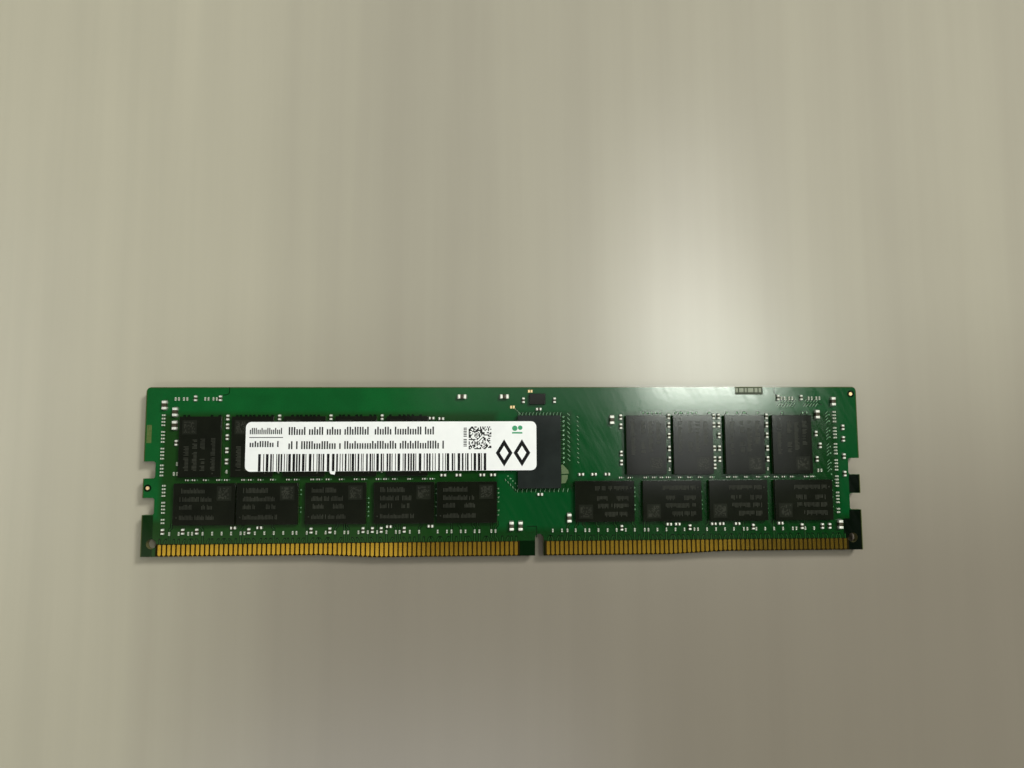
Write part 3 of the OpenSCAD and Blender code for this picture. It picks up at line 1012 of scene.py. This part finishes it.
def diamond(shape, cx, cy, wide, tall, stroke):
    """A thick diamond outline in four mitred sides."""
    outer = [(cx + wide / 2, cy), (cx, cy + tall / 2), (cx - wide / 2, cy), (cx, cy - tall / 2)]
    share = 1 - stroke * 2 * math.hypot(wide, tall) / (wide * tall)
    inner = [(cx + (x - cx) * share, cy + (y - cy) * share) for x, y in outer]
    for k in range(4):
        print_flat(shape, (inner[k], outer[k], outer[(k + 1) % 4], inner[(k + 1) % 4]))


# Lines of print on the label: x from and to, y from and to, and the width of a letter.
PRINT_LINES = ((26.2, 53.3, 22.35, 23.8, 0.92), (26.2, 54.9, 19.75, 21.2, 0.92),
               (19.2, 25.3, 22.5, 23.65, 0.7), (19.2, 25.3, 20.15, 21.25, 0.9))
# Bars of print: centre, width and height.
PRINT_RULE = (22.25, 21.9, 6.1, 0.14)
GREEN_RULE = (68.2, 22.6, 1.9, 0.3)
# The bar code: x from and to, the middle's y, height and module.
BARCODE = (20.9, 62.0, 17.3, 3.15, 0.155)
# The square code: left, foot, side and cells along a side.
SQUARE_CODE = (59.2, 19.6, 4.2, 20)
# Centre, width, height and stroke of each diamond; centre and radius of each green dot.
DIAMONDS = ((65.75, 18.9, 3.1, 5.0, 0.62), (69.05, 18.9, 3.1, 5.0, 0.62))
GREEN_DOTS = ((67.75, 23.45, 0.5), (68.75, 23.55, 0.42))


def label_print():
    """Black and green print, none of it lettering."""
    draw = random.Random(21)
    black, green = Shape(), Shape()
    for line in PRINT_LINES:
        print_bars(black, stems(draw, *line))
    print_bars(black, [PRINT_RULE])
    print_bars(black, barcode(draw, *BARCODE))
    print_bars(black, [(58.55, 19.9 + 0.3 * k, 0.6, 0.17) for k in range(13) if draw.random() < 0.85])
    print_bars(black, cells(draw, *SQUARE_CODE))
    for size in DIAMONDS:
        diamond(black, *size)
    for dot in GREEN_DOTS:
        print_flat(green, circle(*dot, 14))
    print_bars(green, [GREEN_RULE])
    piece("label_print_black", black, BLACK_INK)
    piece("label_print_green", green, GREEN_INK)


label_sheet()
label_print()


# ---- laser marks ----

# Rows on a package lying along X, from its centre: x from and to, y from and to.
MARK_ROWS = ((-4.4, 0.1, 1.95, 2.85), (-4.4, 1.5, 0.45, 1.3), (-4.4, -2.1, -0.95, -0.1),
             (-0.5, 1.6, -0.95, -0.1), (-4.4, 2.0, -2.8, -2.0))
# The square field's left, foot and side, and the dot's centre and side.
MARK_FIELD = (2.25, 0.6, 2.6)
MARK_DOT = (-4.85, -2.4, 0.22)
# x of the packages that lie turned about, from.
TURNED_FROM = 70
# How far the marks and the field stand out, in millimetres.
MARK_THICK, FIELD_THICK = 0.004, 0.002


def marking(draw, face, node, turns, marks, fields):
    """Greeked marks on one package, turned by a number of quarter turns about its centre."""
    low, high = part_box(node)
    cx, cy, *_ = place_and_size(low, high)
    top = face.top(low, high)
    cos, sin = ((1, 0), (0, 1), (-1, 0), (0, -1))[turns]

    def bar(shape, x, y, wide, tall, height):
        if turns % 2:
            wide, tall = tall, wide
        place = card(cx + x * cos - y * sin, cy + x * sin + y * cos)
        outline = rectangle(*place, wide * MM, tall * MM, 0, 1)
        shape.stand(face, [(outline, top - 0.02 * MM), (outline, top + height * MM)])

    for x0, x1, y0, y1 in MARK_ROWS:
        for x, y, wide, tall in stems(draw, x0, x1, y0, y1, 0.5):
            bar(marks, x, y, wide, tall, MARK_THICK)
    x, y, side = MARK_FIELD
    bar(fields, x + side / 2, y + side / 2, side, side, FIELD_THICK)
    for cell in cells(draw, x + 0.3, y + 0.3, side - 0.6, 10, 0.4):
        bar(marks, *cell, MARK_THICK)
    x, y, side = MARK_DOT
    bar(marks, x, y, side, side, MARK_THICK)


def laser_marks():
    """Marks on every package, upside down on the right half of the card."""
    draw = random.Random(31)
    for face in FACES:
        marks, fields = Shape(), Shape()
        for node in sorted(n for n in frame["nodes"] if n.startswith(f"dram_{face.name}")):
            x, _, wide, tall = place_and_size(*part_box(node))
            turns = 0 if wide > tall else 1
            if x > TURNED_FROM:
                turns += 2
            marking(draw, face, node, turns, marks, fields)
        piece(f"laser_marks_{face.name}", marks, LASER)
        piece(f"laser_fields_{face.name}", fields, LASER_FIELD)


laser_marks()


# ---- studio ----

FLOOR_SIDE = 4
# Just below the part, so that the two don't touch.
FLOOR_TOP = -0.01 * MM


def studio_floor():
    shape = Shape()
    outline = rectangle(0, 0, FLOOR_SIDE, FLOOR_SIDE, 0.5, 8)
    shape.loft([[(x, y, z) for x, y in outline] for z in (-4 * MM, FLOOR_TOP)])
    made = solids("studio_floor", shape, floor_look())


def aimed(thing, place, target, roll=0.0):
    """Puts a light or camera at place, looking at target, with the card's +Y upwards in its view."""
    back = (Vector(place) - Vector(target)).normalized()
    right = Vector((0, 1, 0)).cross(back).normalized()
    turned = Matrix((right, back.cross(right), back)).transposed().to_4x4()
    thing.matrix_world = Matrix.Translation(place) @ turned @ Matrix.Rotation(roll, 4, "Z")


def softbox(name, place, target, size, power, colour=(1, 1, 1), mirrored=True):
    """A rectangular light. Glossy surfaces mirror it unless mirrored is false."""
    light = bpy.data.lights.new(name, "AREA")
    light.shape = "RECTANGLE"
    light.size, light.size_y = size
    light.energy = power
    light.color = colour
    made = placed(name, light)
    made.visible_glossy = mirrored
    aimed(made, Vector(place), Vector(target))


def world(colour, overhead, horizon):
    """Dim overhead and brighter towards the horizon."""
    made = bpy.data.worlds.new("studio")
    made.use_nodes = True
    nodes, links = made.node_tree.nodes, made.node_tree.links
    place = nodes.new("ShaderNodeTexCoord")
    split = nodes.new("ShaderNodeSeparateXYZ")
    fade = nodes.new("ShaderNodeMapRange")
    links.new(place.outputs["Generated"], split.inputs[0])
    links.new(split.outputs["Z"], fade.inputs["Value"])
    for socket, value in (("From Min", 0.0), ("From Max", 0.75), ("To Min", horizon), ("To Max", overhead)):
        fade.inputs[socket].default_value = value
    links.new(fade.outputs[0], nodes["Background"].inputs["Strength"])
    nodes["Background"].inputs["Color"].default_value = (*colour, 1)
    bpy.context.scene.world = made


CAMERA_PLACE = Vector((-5.93, 2.72, 146.44)) * MM
CAMERA_TARGET = Vector((0.645, 16.185, 2.5)) * MM
CAMERA_ROLL = math.radians(-0.27)


def camera():
    lens = bpy.data.cameras.new("camera")
    lens.sensor_width, lens.lens = 36, 27.04
    lens.clip_start, lens.clip_end = 0.001, 10
    made = placed("camera", lens)
    aimed(made, CAMERA_PLACE, CAMERA_TARGET, CAMERA_ROLL)
    bpy.context.scene.camera = made


# How far the mirrored softboxes hang above the card's face.
HANG = 0.6


def mirrored_softbox(name, x0, x1, y0, y1, radiance, colour):
    """A level softbox that a camera at CAMERA_PLACE sees mirrored in a stretch of the card's face."""
    near = CAMERA_PLACE.z - FRONT_Z
    low, high = (Vector((*card(x, y), FRONT_Z)) for x, y in ((x0, y0), (x1, y1)))
    middle = (low + high) / 2
    grown = 1 + HANG / near
    away = (middle - CAMERA_PLACE) * HANG / near
    place = Vector((middle.x + away.x, middle.y + away.y, FRONT_Z + HANG))
    size = ((high.x - low.x) * grown, (high.y - low.y) * grown)
    softbox(name, place, place - Vector((0, 0, 1)), size, radiance * math.pi * size[0] * size[1], colour)


WHITE, GREENISH, WARM, AMBER = (1, 1, 1), (0.93, 1.0, 0.88), (1.0, 0.98, 0.92), (1.0, 0.95, 0.75)
# The stretch of the card that mirrors each softbox (x from and to, y from and to), radiance and colour.
MIRRORED_LIGHTS = (
    ("key", 93, 117, 28.5, 37, 39.0, GREENISH),
    ("key_above", 95, 107, 37, 55, 26.0, WARM),
    ("key_top", 95, 107, 55, 80, 10.0, WARM),
    ("halo_left", 50, 93, 26.5, 40, 0.8, WHITE),
    ("halo_near", 88, 106, 14, 27.5, 1.35, WHITE),
    ("halo_far", 106, 121, 14, 27.5, 0.7, WHITE),
    ("ceiling", -60, 50, 6, 80, 0.06, WHITE),
    ("strip_left", -30, 48, -14, 3.2, 0.62, AMBER),
    ("strip_right", 48, 110, -14, 3.2, 0.22, AMBER),
    ("strip_end", 110, 140, -14, 3.2, 0.06, WHITE),
)
# Place in metres, size, power, and whether glossy surfaces mirror it.
ROOM_LIGHTS = (
    ("left", (-0.65, 0.1, 0.65), (0.4, 0.4), 0.8, True),
    ("right", (0.45, 0.4, 0.65), (0.16, 0.16), 4.6, False),
    ("far", (0.0, 0.42, 0.8), (0.6, 0.2), 0.5, False),
    ("near", (-0.1, -0.42, 0.8), (0.5, 0.2), 1.2, True),
)

studio_floor()
camera()
for light in MIRRORED_LIGHTS:
    mirrored_softbox(*light)
for name, place, size, power, mirrored in ROOM_LIGHTS:
    softbox(name, place, (0, 0, 0), size, power, mirrored=mirrored)
world((1.0, 0.97, 0.92), overhead=0.02, horizon=0.12)
bpy.context.scene.view_settings.view_transform = "Standard"
